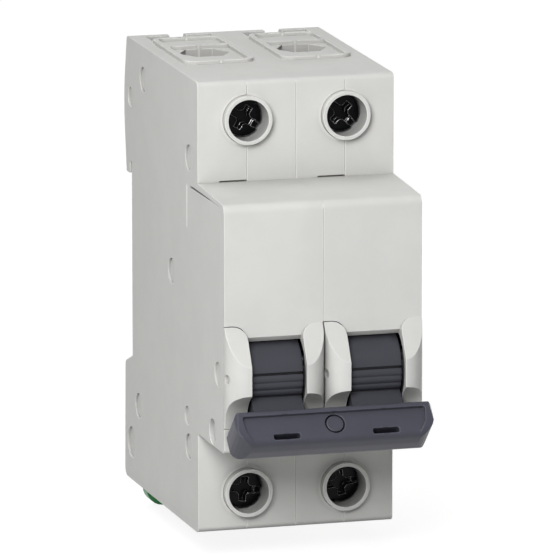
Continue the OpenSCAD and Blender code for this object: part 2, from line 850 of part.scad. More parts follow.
module handle_tie_bar() {
    out = bar_in + bar_t;
    half_w = bar_w / 2;
    half_h = bar_h / 2;
    slope = 0.9;
    panel = half_h - 0.1 - panel_in;
    panel_top = bar_in + 1.1;
    slot_r = 0.35;
    ring_r = 1.8;
    ring_groove = 0.3;
    end_in = 1.3;
    end_out = 3.5;
    end_rear = 1;
    end_front = 1.2;
    color(slate)
        handle_frame()
            difference() {
                intersection() {
                    along_x(-half_w, half_w)
                        polygon(rounded([
                            [-bar_in, -half_h, 0.8],
                            [-bar_in, half_h, 0.7],
                            [-out, half_h - slope, 2],
                            [-out - 0.1, 0, 8],
                            [0.3 - out, 0.5 - half_h, 1.8]
                        ]));
                    // Ends rounded towards the user, and less so all round
                    translate([0, 0, -bar_h])
                        linear_extrude(2 * bar_h)
                            polygon(rounded([
                                [-half_w, -bar_in, end_in],
                                [-half_w, -out - 0.2, end_out],
                                [half_w, -out - 0.2, end_out],
                                [half_w, -bar_in, end_in]
                            ]));
                    translate([0, -bar_in + 1, 0])
                        rotate([90, 0, 0])
                            linear_extrude(2 * bar_t)
                                polygon(rounded([
                                    [-half_w, -half_h, end_rear],
                                    [half_w, -half_h, end_rear],
                                    [half_w, half_h, end_front],
                                    [-half_w, half_h, end_front]
                                ]));
                }
                for (i = [0, 1])
                    at_pole(i)
                        block([-drum_w / 2 - seam, drum_w / 2 + seam], [-stem_end - seam, 0],
                            [-stem_t / 2 - seam, stem_t / 2 + seam]);
                // Sunk panel that runs out into the outer face
                intersection() {
                    along_x(-half_w, half_w)
                        polygon(rounded([
                            [-panel_top, bar_h, 0],
                            [-panel_top, panel, 0],
                            [0.15 - out, panel - 0.35, 1.2],
                            [-out - 0.4, panel - 2.9, 0],
                            [-out - 2, panel - 2.9, 0],
                            [-out - 2, bar_h, 0]
                        ]));
                    linear_extrude(bar_h)
                        polygon(rounded([
                            [1.3 - half_w, -panel_top, 0.5],
                            [half_w - 1.3, -panel_top, 0.5],
                            [half_w - 1.7, 2.2 - out, 1.5],
                            [half_w - 3.4, -out - 0.5, 0],
                            [3.4 - half_w, -out - 0.5, 0],
                            [1.7 - half_w, 2.2 - out, 1.5]
                        ]));
                }
                // Off mark on the panel, on mark on the other side
                translate([0, -panel_top - 2, panel - 1.1])
                    difference() {
                        cylinder(r = ring_r, h = 2);
                        translate([0, 0, -1])
                            cylinder(r = ring_r - ring_groove, h = 4);
                    }
                block([-0.3, 0.3], [1.2 - out, -panel_top], [-bar_h, 0.75 - half_h]);
                // A slot in the panel beyond each stem
                for (i = [0, 1])
                    at_pole(i)
                        translate([0, 1.15 - out, -1])
                            linear_extrude(bar_h)
                                round_rect(4.8, 1.05, slot_r);
            }
}

// Springs and braid: round wire swept along a rule
handle_spring_r = 2.3;
handle_spring_wire = 0.6;
handle_spring_turns = 2;
curl_steps = 8;
handle_spring_x0 = -inner + handle_spring_wire / 2 + part_gap;
handle_spring_x1 = -drum_w / 2 - handle_spring_wire / 2 - part_gap;
handle_spring_l = handle_spring_x1 - handle_spring_x0;
handle_spring_path = concat(
    [[handle_spring_x0, pivot_y + 5, pivot_z - handle_spring_r]],
    [for (i = [0:handle_spring_turns * curl_steps])
        let (a = 360 * i / curl_steps)
        [
            handle_spring_x0 + handle_spring_l * i / (handle_spring_turns * curl_steps),
            pivot_y - handle_spring_r * sin(a),
            pivot_z - handle_spring_r * cos(a)
        ]],
    [[handle_spring_x1, yn + front_t + handle_spring_wire / 2 + 2 * part_gap, pivot_z - handle_spring_r]]
);
echo(handle_spring_gap = self_gap(handle_spring_path, handle_spring_wire / 2, curl_steps - 1));

module handle_spring(i) {
    color(steel)
        at_pole(i)
            tube(handle_spring_path, handle_spring_wire / 2, [1, 0, 0]);
}

contact_spring_r = 1.7;
contact_spring_wire = 0.5;
contact_spring_turns = 5;
contact_spring_y0 = spring_post_y + spring_post_t + contact_spring_wire / 2 + part_gap;
arm_front_y = arm_y - (spring_z - arm_z) * tan(arm_half) - arm_half_w / cos(arm_half);
contact_spring_y1 = arm_front_y - contact_spring_r * tan(arm_half) - contact_spring_wire / 2 - part_gap;
contact_spring_l = contact_spring_y1 - contact_spring_y0;
contact_spring_path =
    [for (i = [0:contact_spring_turns * curl_steps])
        let (a = 360 * i / curl_steps)
        [
            contact_spring_r * cos(a),
            contact_spring_y0 + contact_spring_l * i / (contact_spring_turns * curl_steps),
            spring_z + contact_spring_r * sin(a)
        ]];
echo(contact_spring_gap = self_gap(contact_spring_path, contact_spring_wire / 2, curl_steps - 1));

module contact_spring(i) {
    color(steel)
        at_pole(i)
            tube(contact_spring_path, contact_spring_wire / 2, [0, 1, 0]);
}

braid_d = 0.84;
module braid(i) {
    from_x = bimetal_x[1] + braid_d / 2 + part_gap;
    to_x = -arm_t / 2 - braid_d / 2 - part_gap;
    end_z = arm_z + 7.6;
    end_y = arm_y - 7.6 * tan(arm_half);
    path = [
        [from_x, bimetal_y + bimetal_t / 2, bimetal_top - 2],
        [from_x, bimetal_y + bimetal_t / 2, bimetal_top - 4],
        [from_x, bimetal_y + 0.2, bimetal_top - 6.2],
        [(from_x + to_x) / 2, bimetal_y - 1.2, bimetal_top - 8],
        [to_x, bimetal_y - 2.6, bimetal_top - 8.2],
        [to_x, (end_y + bimetal_y - 2.8) / 2, bimetal_top - 7.2],
        [to_x, end_y, end_z - 0.4],
        [to_x, end_y, end_z + 0.6]
    ];
    color(copper)
        at_pole(i)
            tube(path, braid_d / 2, [1, 0, 0]);
}

module drive_link(i) {
    a = [link_x, crank_y, crank_z];
    b = [link_x, arm_link_y, arm_link_z];
    color(steel)
        at_pole(i) {
            rod_between(a, b, link_d);
            for (p = [a, b])
                translate(p)
                    sphere(d = link_d);
            x_rod(a[1], a[2], link_d, drum_w / 2 - 2.6, a[0]);
            x_rod(b[1], b[2], link_d, -arm_t / 2 - part_gap, b[0]);
        }
}

// Contact arm, upright about its axle and tilted to the off side
module arm_frame(tilt) {
    translate([0, arm_y, arm_z])
        rotate([tilt, 0, 0])
            children();
}

module contact_arm(i) {
    slot_w = link_d + 0.5;
    slot = [arm_link_r - 0.25, arm_link_r + crank_r - crank_rise + 0.25];
    end_r = arm_tip_r + 2.4;
    color(copper)
        at_pole(i)
            arm_frame(arm_half)
                along_x(-arm_t / 2, arm_t / 2)
                    difference() {
                        union() {
                            circle(arm_boss_r);
                            polygon([
                                [-arm_half_w, 0], [arm_half_w, 0],
                                [arm_half_w, slot[1] + 1.4], [tip_seat, arm_tip_r - 2],
                                [tip_seat, end_r], [-tip_seat, end_r],
                                [-tip_seat, arm_tip_r - 2], [-arm_half_w, slot[1] + 1.4]
                            ]);
                        }
                        circle(d = axle_d + 2 * run_clear);
                        translate([-slot_w / 2, slot[0]])
                            square([slot_w, slot[1] - slot[0]]);
                        for (r = slot)
                            translate([0, r])
                                circle(d = slot_w);
                    }
}

module moving_tip(i) {
    color(silver)
        at_pole(i)
            arm_frame(arm_half)
                y_rod(0, arm_tip_r, tip_d, tip_seat, tip_seat + tip_t);
}

// Fixed contact: its pad lies along the closed arm, its runner goes back over the arc chute
module fixed_contact(i) {
    half = 3;
    pad = [arm_tip_r - 3, arm_tip_r + 2];
    tab_end = coil_r + coil_wire / 2 + 0.2;
    color(copper)
        at_pole(i) {
            arm_frame(-arm_half)
                block([-half, half], [fixed_seat, fixed_seat + fixed_t], pad);
            block([-half, half], [coil_front + 5.4, chute_rear], [runner_z, runner_z + runner_t]);
            block([half - eps, tab_end], [coil_start_y - coil_wire, coil_front + 9],
                [runner_z, runner_z + runner_t]);
        }
}

module fixed_contact_tips() {
    color(silver)
        both_poles()
            arm_frame(-arm_half)
                y_rod(0, arm_tip_r, tip_d, fixed_seat - fixed_tip_t, fixed_seat);
}

module arc_plates(i) {
    notch = 4;
    color(steel)
        at_pole(i)
            for (k = [1:chute_plates])
                translate([0, 0, chute_top - chute_pitch * k + chute_pitch - chute_t])
                    linear_extrude(chute_t)
                        polygon([
                            [-chute_half, chute_front], [-notch / 2, chute_front],
                            [0, chute_front + 2 * notch], [notch / 2, chute_front],
                            [chute_half, chute_front], [chute_half, chute_rear], [-chute_half, chute_rear]
                        ]);
}

module arc_chute_cheeks() {
    low = lower_runner_z + 0.2;
    color(fibre)
        both_poles()
            for (s = [0, 1])
                mirror([s, 0, 0])
                    block([chute_half + part_gap, inner - 2 * part_gap],
                        [chute_front - 1, chute_rear + 0.5], [low, 0]);
}

module lower_arc_runners() {
    color(copper)
        both_poles()
            block([-2, 2.5], [arm_y + 5.5, chute_rear], [lower_runner_z - runner_t, lower_runner_z]);
}

// Solenoid
coil_steps = 12;
coil_path = concat(
    [[coil_r, coil_start_y, runner_z + runner_t + part_gap]],
    [[coil_r, coil_start_y, coil_z - 3]],
    [for (i = [0:coil_turns * coil_steps])
        let (a = 360 * i / coil_steps)
        [coil_r * cos(a), coil_start_y + coil_pitch * i / coil_steps, coil_z + coil_r * sin(a)]],
    [[coil_r, coil_end_y, coil_z + 3]],
    [[coil_r, coil_end_y, upper_run_z - part_gap]]
);
echo(coil_gap = self_gap(coil_path, coil_wire / 2, coil_steps - 1));

module trip_coil(i) {
    color(copper)
        at_pole(i)
            tube(coil_path, coil_wire / 2, [0, 1, 0]);
}

module coil_bobbins() {
    color(black)
        both_poles()
            difference() {
                union() {
                    y_rod(0, coil_z, 2 * bobbin_tube_r, coil_front, coil_rear);
                    for (y = [coil_front, coil_rear - bobbin_flange_t])
                        y_rod(0, coil_z, 2 * bobbin_flange_r, y, y + bobbin_flange_t);
                }
                y_rod(0, coil_z, bobbin_bore, coil_front - 1, coil_rear + 1);
            }
}

module coil_yokes() {
    color(dark_steel)
        both_poles()
            difference() {
                union() {
                    block([-3, 3], [coil_front - yoke_t - seam, coil_rear + yoke_t + seam],
                        [yoke_low, yoke_low + yoke_t]);
                    for (y = [coil_front - yoke_t - seam, coil_rear + seam])
                        block([-yoke_half, yoke_half], [y, y + yoke_t], [yoke_low, coil_z + yoke_half]);
                }
                y_rod(0, coil_z, plunger_d + 2 * run_clear, coil_front - 2 * yoke_t, coil_front);
                y_rod(0, coil_z, bobbin_bore, coil_rear, coil_rear + 2 * yoke_t);
            }
}

module coil_cores() {
    color(dark_steel)
        both_poles()
            difference() {
                y_rod(0, coil_z, plunger_d, coil_front - yoke_t - seam, coil_front + core_l);
                y_rod(0, coil_z, striker_d + 2 * run_clear, coil_front - 2 * yoke_t, coil_front + core_l + 1);
            }
}

module plunger(i) {
    front = coil_front + core_l + plunger_gap;
    color(steel)
        at_pole(i) {
            y_rod(0, coil_z, plunger_d, front, coil_rear + yoke_t + 0.8);
            y_rod(0, coil_z, striker_d, trip_y + trip_bar_w / 2 + striker_gap, front + eps);
        }
}

// Trip lever: struck by the solenoid at its paddle, pushed by the bimetal at its finger
module trip_lever(i) {
    finger_t = 2;
    paddle_h = 3;
    color(black)
        at_pole(i) {
            along_x(trip_layer[0], trip_layer[1])
                difference() {
                    union() {
                        translate([trip_y, trip_z])
                            circle(2.2);
                        translate([trip_y, trip_rod_z])
                            circle(2);
                        translate([trip_y - trip_bar_w / 2, trip_z])
                            square([trip_bar_w, trip_top - trip_z]);
                        translate([trip_y, finger_z - finger_t / 2])
                            square([bimetal_y - striker_gap - trip_y, finger_t]);
                    }
                    translate([trip_y, trip_z])
                        circle(d = trip_axle_d + 2 * run_clear);
                    translate([trip_y, trip_rod_z])
                        circle(d = trip_rod_d + 2 * run_clear);
                }
            block([trip_layer[1] - eps, 1.5], [trip_y - trip_bar_w / 2, trip_y + trip_bar_w / 2],
                [coil_z - paddle_h / 2, coil_z + paddle_h / 2]);
        }
}

module trip_link_rod() {
    color(steel)
        x_rod(trip_y, trip_rod_z, trip_rod_d, pole_x(0) + trip_layer[0], pole_x(1) + trip_layer[1]);
}

module bimetal(i) {
    color(brass)
        at_pole(i)
            block(bimetal_x, [bimetal_y, bimetal_y + bimetal_t], [bimetal_low, bimetal_top]);
}

calibration_z = lower_run_z + 3.6;
calibration_d = 2;
calibration_x = (bimetal_x[0] + bimetal_x[1]) / 2;
lug_y = bimetal_y + bimetal_t + 3;
module calibration_screws() {
    color(brass)
        both_poles() {
            y_rod(calibration_x, calibration_z, calibration_d,
                bimetal_y + bimetal_t + 2 * part_gap, lug_y + 2);
            y_rod(calibration_x, calibration_z, 3, lug_y + strap_t + part_gap, lug_y + strap_t + 1.2);
        }
}

module upper_strap(i) {
    color(copper)
        at_pole(i) {
            block([-strap_half, strap_half], [strap_y, strap_y + strap_t],
                [upper_run_z, screw_z + cage_half_z]);
            block([-strap_half, coil_r + coil_wire / 2 + 0.2],
                [min(strap_y, coil_end_y - coil_wire), max(strap_y, coil_end_y) + coil_wire],
                [upper_run_z, upper_run_z + strap_t]);
        }
}

module lower_strap(i) {
    run_y = [bimetal_y + bimetal_t + part_gap, strap_y + strap_t];
    color(copper)
        at_pole(i)
            difference() {
                union() {
                    block([-strap_half, strap_half], [strap_y, strap_y + strap_t],
                        [-screw_z - cage_half_z, lower_run_z + eps]);
                    block([bimetal_x[0], strap_half], run_y, [lower_run_z, lower_run_z + strap_t]);
                    block(bimetal_x, [lug_y, lug_y + strap_t], [lower_run_z, calibration_z + 2]);
                }
                y_rod(calibration_x, calibration_z, calibration_d + 2 * run_clear,
                    lug_y - 1, lug_y + strap_t + 1);
            }
}

// Terminal: the cage is a square tube along Z; its front wall is the nut on the screw
module terminal_cage(i, s) {
    z = [s * screw_z - cage_half_z, s * screw_z + cage_half_z];
    color(steel)
        at_pole(i)
            difference() {
                block([-cage_half_x, cage_half_x], [cage_front, cage_rear], z);
                block([cage_wall - cage_half_x, cage_half_x - cage_wall],
                    [cage_front + cage_nut_t, cage_rear - cage_wall], [z[0] - 1, z[1] + 1]);
                y_rod(0, s * screw_z, shank_d + 2 * run_clear, cage_front - 1, cage_front + cage_nut_t + 1);
            }
}

module terminal_screw(i, s) {
    head_t = 2.5;
    slot_w = 1.1;
    slot_in = 0.9;
    arm_w = 1.3;
    arm_l = 4.4;
    recess = 1.7;
    socket_d = 2.5;
    turned = s > 0 ? 32 + 13 * i : 8 - 16 * i;
    color(dark_steel)
        at_pole(i)
            difference() {
                union() {
                    y_rod(0, s * screw_z, head_d, ys + head_in, ys + head_in + head_t);
                    y_rod(0, s * screw_z, shank_d, ys + head_in + head_t - eps, strap_y - 2 * part_gap);
                }
                y_rod(0, s * screw_z, socket_d, ys + head_in - 1, ys + head_in + recess);
                translate([0, ys + head_in, s * screw_z])
                    rotate([0, turned, 0]) {
                        cube([head_d + 1, 2 * slot_in, slot_w], center = true);
                        cube([arm_l, 2 * recess, arm_w], center = true);
                        cube([arm_w, 2 * recess, arm_l], center = true);
                    }
            }
}

// Rail clip: a plate that slides in the lower rear block; its side notches run over the slot's stops
module rail_clip(i) {
    top = clip_lap - rail_w / 2;
    low = zb - clip_tongue;
    pull_w = 5;
    pull_h = 1.6;
    color(clip_green)
        at_pole(i)
            difference() {
                translate([0, hook_y + clip_t - part_gap, 0])
                    rotate([90, 0, 0])
                        linear_extrude(clip_t - 2 * part_gap)
                            polygon(rounded([
                                [-clip_w / 2, low, clip_r],
                                [clip_w / 2, low, clip_r],
                                [clip_w / 2, top, 0.5],
                                [-clip_w / 2, top, 0.5]
                            ]));
                block([-pull_w / 2, pull_w / 2], [0, 2 * rear_d], [low + 1.4, low + 1.4 + pull_h]);
                for (s = [-1, 1])
                    block([s * clip_slot - stop_in - part_gap, s * clip_slot + stop_in + part_gap],
                        [0, 2 * rear_d],
                        [stop_z - stop_h / 2 - part_gap, stop_z + stop_h / 2 + clip_travel + part_gap]);
            }
}

left_shell(0);  // left_pole_left_shell
right_shell(0);  // left_pole_right_shell
left_shell(1);  // right_pole_left_shell
right_shell(1);  // right_pole_right_shell
case_pins();
axles(pivot_y, pivot_z, axle_d);  // handle_axles
axles(arm_y, arm_z, axle_d);  // contact_arm_axles
axles(trip_y, trip_z, trip_axle_d);  // trip_lever_axles
toggle(0);  // left_toggle
toggle(1);  // right_toggle
handle_tie_bar();
handle_spring(0);  // left_handle_spring
handle_spring(1);  // right_handle_spring
drive_link(0);  // left_drive_link
drive_link(1);  // right_drive_link
contact_arm(0);  // left_contact_arm
contact_arm(1);  // right_contact_arm
moving_tip(0);  // left_moving_tip
moving_tip(1);  // right_moving_tip
contact_spring(0);  // left_contact_spring
contact_spring(1);  // right_contact_spring
braid(0);  // left_braid
braid(1);  // right_braid
fixed_contact(0);  // left_fixed_contact
fixed_contact(1);  // right_fixed_contact
fixed_contact_tips();
arc_plates(0);  // left_arc_plates
arc_plates(1);  // right_arc_plates
arc_chute_cheeks();
lower_arc_runners();
trip_coil(0);  // left_trip_coil
trip_coil(1);  // right_trip_coil
coil_bobbins();
coil_yokes();
coil_cores();
plunger(0);  // left_plunger
plunger(1);  // right_plunger
trip_lever(0);  // left_trip_lever
trip_lever(1);  // right_trip_lever
trip_link_rod();
bimetal(0);  // left_bimetal
bimetal(1);  // right_bimetal
calibration_screws();
upper_strap(0);  // left_upper_strap
upper_strap(1);  // right_upper_strap
lower_strap(0);  // left_lower_strap
lower_strap(1);  // right_lower_strap
terminal_cage(0, 1);  // left_upper_cage
terminal_cage(1, 1);  // right_upper_cage
terminal_cage(0, -1);  // left_lower_cage
terminal_cage(1, -1);  // right_lower_cage
terminal_screw(0, 1);  // left_upper_screw
terminal_screw(1, 1);  // right_upper_screw
terminal_screw(0, -1);  // left_lower_screw
terminal_screw(1, -1);  // right_lower_screw
rail_clip(0);  // left_rail_clip
rail_clip(1);  // right_rail_clip
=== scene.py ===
import bpy
import math
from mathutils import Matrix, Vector


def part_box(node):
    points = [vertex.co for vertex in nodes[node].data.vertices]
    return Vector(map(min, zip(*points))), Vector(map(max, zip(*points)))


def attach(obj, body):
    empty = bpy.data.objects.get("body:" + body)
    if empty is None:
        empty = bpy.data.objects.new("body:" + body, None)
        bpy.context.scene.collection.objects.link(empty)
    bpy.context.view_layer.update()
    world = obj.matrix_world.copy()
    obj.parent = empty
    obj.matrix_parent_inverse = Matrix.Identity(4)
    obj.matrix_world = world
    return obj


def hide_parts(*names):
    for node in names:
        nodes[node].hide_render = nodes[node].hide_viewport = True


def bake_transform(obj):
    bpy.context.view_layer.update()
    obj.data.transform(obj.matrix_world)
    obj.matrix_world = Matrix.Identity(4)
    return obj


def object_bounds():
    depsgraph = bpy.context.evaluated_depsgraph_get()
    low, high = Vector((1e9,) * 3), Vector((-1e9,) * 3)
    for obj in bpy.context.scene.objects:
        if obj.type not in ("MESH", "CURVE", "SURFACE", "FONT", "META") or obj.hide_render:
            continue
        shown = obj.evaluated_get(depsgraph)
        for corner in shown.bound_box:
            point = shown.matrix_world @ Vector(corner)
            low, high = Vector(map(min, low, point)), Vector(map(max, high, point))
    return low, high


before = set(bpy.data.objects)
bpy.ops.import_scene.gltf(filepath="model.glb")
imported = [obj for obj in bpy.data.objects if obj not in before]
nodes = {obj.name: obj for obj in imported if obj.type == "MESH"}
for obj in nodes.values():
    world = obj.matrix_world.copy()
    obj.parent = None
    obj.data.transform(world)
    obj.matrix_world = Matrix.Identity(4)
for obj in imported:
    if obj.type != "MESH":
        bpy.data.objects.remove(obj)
cad_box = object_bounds()

# The studio: a pale floor just under the clip tongues, and a long lens a little above and to the left
# of the nose. A small lamp stands near at the upper left, a large one overhead and one low behind on
# the right, with weak even light all round.
mm = 0.001
scene = bpy.context.scene
scene.view_settings.view_transform = "Standard"

sight = Vector((-2.90, -44.0, 4.41)) * mm
turn, rise, lens_distance = math.radians(16.311), math.radians(11.299), 1.301


def aim(name, data, place):
    """The lens or a lamp as an object that stands at a place and looks at the breaker."""
    stand = bpy.data.objects.new(name, data)
    stand.location = place
    stand.rotation_euler = (sight - place).to_track_quat("-Z", "Y").to_euler()
    scene.collection.objects.link(stand)
    return stand


def panel(name, size, power, way, distance=1.0):
    """A square lamp on the way given, seen from the breaker."""
    lamp = bpy.data.lights.new(name, "AREA")
    lamp.size, lamp.energy = size, power
    aim(name, lamp, sight + distance * Vector(way).normalized())


lens = bpy.data.cameras.new("long_lens")
lens.sensor_width = 36.0
lens.lens = 473.7
lens.clip_end = 60.0
scene.camera = aim("long_lens", lens, sight + lens_distance * Vector((
    -math.sin(turn) * math.cos(rise), -math.cos(turn) * math.cos(rise), math.sin(rise))))
panel("key_panel", 0.2, 1.58, (-0.455, -0.77, 0.49), distance=0.42)
panel("top_panel", 0.6, 3.2, (-0.26, 0.22, 0.95))
panel("back_panel", 0.5, 4.2, (0.75, 0.6, 0.14))


class Wire:
    """A socket in a finish's nodes; sums on wires add Math nodes, and add() makes any other node."""

    def __init__(self, tree, socket=None):
        self.tree, self.socket = tree, socket

    def add(self, kind, settings={}, links={}, out=0):
        made = self.tree.nodes.new("ShaderNode" + kind)
        for name, value in settings.items():
            setattr(made, name, value)
        for key, value in links.items():
            if isinstance(value, Wire):
                self.tree.links.new(value.socket, made.inputs[key])
            else:
                made.inputs[key].default_value = value
        return Wire(self.tree, made.outputs[out] if len(made.outputs) else None)

    def math(self, operation, a, b=0.0):
        return self.add("Math", {"operation": operation}, {0: a, 1: b})

    def __add__(self, other):
        return self.math("ADD", self, other)

    def __radd__(self, other):
        return self.math("ADD", other, self)

    def __sub__(self, other):
        return self.math("SUBTRACT", self, other)

    def __rsub__(self, other):
        return self.math("SUBTRACT", other, self)

    def __mul__(self, other):
        return self.math("MULTIPLY", self, other)

    def __rmul__(self, other):
        return self.math("MULTIPLY", other, self)

    def __pow__(self, other):
        return self.math("POWER", self, other)

    def __abs__(self):
        return self.math("ABSOLUTE", self)

    def parts(self):
        """The x, y and z of a vector."""
        split = self.add("SeparateXYZ", {}, {"Vector": self}).socket.node
        return [Wire(self.tree, part) for part in split.outputs]

    def mix(self, low, high):
        """The colour low where this is 0, and high where it is 1."""
        return self.add("Mix", {"data_type": "RGBA", "clamp_factor": True},
                        {0: self, 6: low, 7: high}, out=2)

    def step(self, start, end):
        """A soft step from 0 at start to 1 at end."""
        return self.add("MapRange", {"interpolation_type": "SMOOTHSTEP"},
                        {0: self, 1: start, 2: end, 3: 0.0, 4: 1.0})


def seen_white(w):
    """1 for rays from the lens and through mirrors or glass, which all show the white ground."""
    rays = w.add("LightPath").socket.node.outputs
    seen = Wire(w.tree, rays["Is Camera Ray"])
    for kind in ("Is Glossy Ray", "Is Transmission Ray"):
        seen = w.math("MAXIMUM", seen, Wire(w.tree, rays[kind]))
    return seen


def new_finish(name):
    finish = bpy.data.materials.new(name)
    finish.use_nodes = True
    finish.node_tree.nodes.clear()
    return finish, Wire(finish.node_tree)


white, warm_white = (1.0, 1.0, 1.0, 1.0), (1.0, 1.0, 0.98, 1.0)
room = bpy.data.worlds.new("even_light")
room.use_nodes = True
room.node_tree.nodes.clear()
air = Wire(room.node_tree)
fill = air.add("Background", {}, {"Color": warm_white, "Strength": 0.035})
ground = air.add("Background", {}, {"Color": white, "Strength": 1.0})
air.add("OutputWorld", {}, {
    "Surface": air.add("MixShader", {}, {0: seen_white(air), 1: fill, 2: ground})})
scene.world = room

floor_half, floor_gap = 4.0, 0.3 * mm
floor_z = cad_box[0][2] - floor_gap
floor_mesh = bpy.data.meshes.new("pale_floor")
floor_mesh.from_pydata(
    [(x * floor_half, y * floor_half, floor_z) for x, y in ((-1, -1), (1, -1), (1, 1), (-1, 1))],
    [], [(0, 1, 2, 3)])
floor = bpy.data.objects.new("pale_floor", floor_mesh)
scene.collection.objects.link(floor)
paper, sheet = new_finish("pale_floor")
bounce = sheet.add("BsdfDiffuse", {}, {"Color": (0.58, 0.58, 0.58, 1.0)})
shadowed = sheet.add("BsdfDiffuse", {}, {"Color": (0.3, 0.3, 0.3, 1.0)})
glow = sheet.add("Emission", {}, {"Color": white, "Strength": 0.88})
lifted = sheet.add("AddShader", {}, {0: shadowed, 1: glow})
sheet.add("OutputMaterial", {}, {
    "Surface": sheet.add("MixShader", {}, {0: seen_white(sheet), 1: bounce, 2: lifted})})
floor_mesh.materials.append(paper)


# The four case shells: light grey moulded thermoset with a fine satin grain. Corners are darkened as
# dust and painted shade, sheltered places get a wider painted shade, and free edges and the rims of
# the joints get a painted highlight. Two shells make a pole, and both poles lie flush side by side
# and are pinned through.
shell_joint = 9.0 * mm  # from the joint of the poles to the joint of each pole's two shells
left_side, shoulder_face = -18.0 * mm, -44.0 * mm
ring_height, ring_radius = 33.5 * mm, 4.35 * mm
slit_place, slit_foot, slit_head = -37.0 * mm, 13.5 * mm, 21.1 * mm
shelter_reach, highlight_radius = 18.0 * mm, 0.35 * mm
rim_highlight = 0.55
dust_and_shade_tint = (1.0, 0.985, 0.95)


def srgb(r, g, b):
    return tuple(((c / 255 + 0.055) / 1.055) ** 2.4 if c > 10 else c / 255 / 12.92
                 for c in (r, g, b)) + (1.0,)


def shade(colour, factor, tint=(1.0, 1.0, 1.0)):
    """The colour made darker or lighter by a factor."""
    return tuple(min(1.0, c * factor * t) for c, t in zip(colour, tint)) + (1.0,)


def moulded(name, colour, grain, roughness, mottle=0.02, dust_and_shade=0.15, gloss=0.35, corner=0.2,
            reach=1.0, painted_shade=0.0, edge_highlight=0.0, seams=0.0):
    """Moulded plastic: mottle, dust and painted shade in corners, painted shade in sheltered places,
    a painted highlight on free edges, and seams, which also turns on painted highlights along rims on
    the front, are the shares by which each one darkens or lightens the colour; reach and corner are
    in millimetres."""
    finish, w = new_finish(name)
    place = w.add("TexCoord", out=3)
    cloud = w.add("TexNoise", {}, {
        "Vector": place, "Scale": 140.0, "Detail": 4.0, "Roughness": 0.55})
    fine = w.add("TexNoise", {}, {
        "Vector": place, "Scale": grain, "Detail": 2.0, "Roughness": 0.6})
    body = cloud.step(0.3, 0.7).mix(shade(colour, 1 - mottle), shade(colour, 1 + mottle))

    # Dust and painted shade: places with other surfaces within reach are darkened
    open_air = w.add("AmbientOcclusion", {"samples": 8}, {"Distance": reach * mm}, out=1)
    body = open_air.step(0.3, 0.9).mix(shade(colour, 1 - dust_and_shade, dust_and_shade_tint), body)
    # Painted shade: places sheltered within a long reach are darkened
    if painted_shade:
        shelter = w.add("AmbientOcclusion", {"samples": 16}, {"Distance": shelter_reach}, out=1)
        body = shelter.step(0.15, 0.82).mix(shade(colour, 1 - painted_shade), body)

    # Painted highlight: free edges are drawn paler, as if they caught the light, but not where two
    # shells meet
    if edge_highlight:
        highlight_colour = shade(colour, 1 + edge_highlight)
        x, y, z = place.parts()
        pole_gap, shell_gap = abs(x), abs(abs(x) - shell_joint)
        joint = w.math("MINIMUM", pole_gap, shell_gap)
        normal = w.add("NewGeometry", out=1)
        rounded_normal = w.add("Bevel", {"samples": 6}, {"Radius": highlight_radius})
        even = w.add("VectorMath", {"operation": "DOT_PRODUCT"}, {0: normal, 1: rounded_normal}, out=1)
        highlit_edge = (1 - even).step(0.01, 0.12) * open_air.step(0.6, 0.9)
        body = (highlit_edge * joint.step(0.4 * mm, 0.6 * mm)).mix(body, highlight_colour)

    # Joints are dark hairlines on the back. On the front, the joints, the screw rings and the slit on
    # the left side get a painted highlight along their rims
    if seams:
        # Painted highlight: a pale band about 1 mm wide along the slit on the left side
        beside = 1 - abs(y - slit_place).step(0.35 * mm, 0.6 * mm)
        above = z.step(slit_foot - 0.2 * mm, slit_foot + 0.2 * mm)
        below = 1 - z.step(slit_head - 0.2 * mm, slit_head + 0.2 * mm)
        outside = 1 - x.step(left_side + 0.2 * mm, left_side + 0.4 * mm)
        body = (beside * above * below * outside).mix(body, highlight_colour)

        backward = normal.parts()[1]
        hairline = 1 - joint.step(0.05 * mm, 0.13 * mm)
        body = (backward.step(0.7, 0.9) * hairline).mix(body, shade(colour, 1 - seams))

        # Painted highlight along the joints and the screw rings on the front faces
        on_shoulder = y.step(shoulder_face - 0.3 * mm, shoulder_face - 0.1 * mm)
        pole_rim = 1 - pole_gap.step(0.1 * mm, 0.25 * mm)
        shell_rim = (1 - shell_gap.step(0.1 * mm, 0.25 * mm)) * on_shoulder
        from_screw = w.math("SQRT", shell_gap ** 2.0 + (abs(z) - ring_height) ** 2.0)
        beyond = from_screw - ring_radius
        ring_rim = beyond.step(-0.2 * mm, 0.0) * (1 - beyond.step(0.1 * mm, 0.7 * mm)) * on_shoulder
        highlit_rims = w.math("MAXIMUM", w.math("MAXIMUM", pole_rim, shell_rim), ring_rim)
        forward = (0 - backward).step(0.7, 0.9)
        body = (rim_highlight * (highlit_rims * forward)).mix(body, highlight_colour)

    eased = w.add("Bevel", {"samples": 6}, {"Radius": corner * mm})
    skin = w.add("BsdfPrincipled", {}, {
        "Base Color": body,
        "Roughness": roughness - 0.05 + 0.1 * cloud,
        "Specular IOR Level": gloss,
        "Normal": w.add("Bump", {}, {
            "Strength": 0.15, "Distance": 0.03 * mm, "Height": fine, "Normal": eased}),
    })
    w.add("OutputMaterial", {}, {"Surface": skin})
    return finish


def dress(finish, *names):
    for name in names:
        nodes[name].data.materials.clear()
        nodes[name].data.materials.append(finish)


case_grey = moulded("case_grey", srgb(219, 219, 216), 2600.0, 0.55, dust_and_shade=0.14, gloss=0.2,
                    corner=0.16, painted_shade=0.42, edge_highlight=0.25, seams=0.6)
dress(case_grey, "left_pole_left_shell", "left_pole_right_shell",
      "right_pole_left_shell", "right_pole_right_shell")

# Case pins: five plastic pins of the case's own material, pressed through all four shells.
# Their flat heads sit at the bottom of round recesses in both sides.
dress(case_grey, "case_pins")


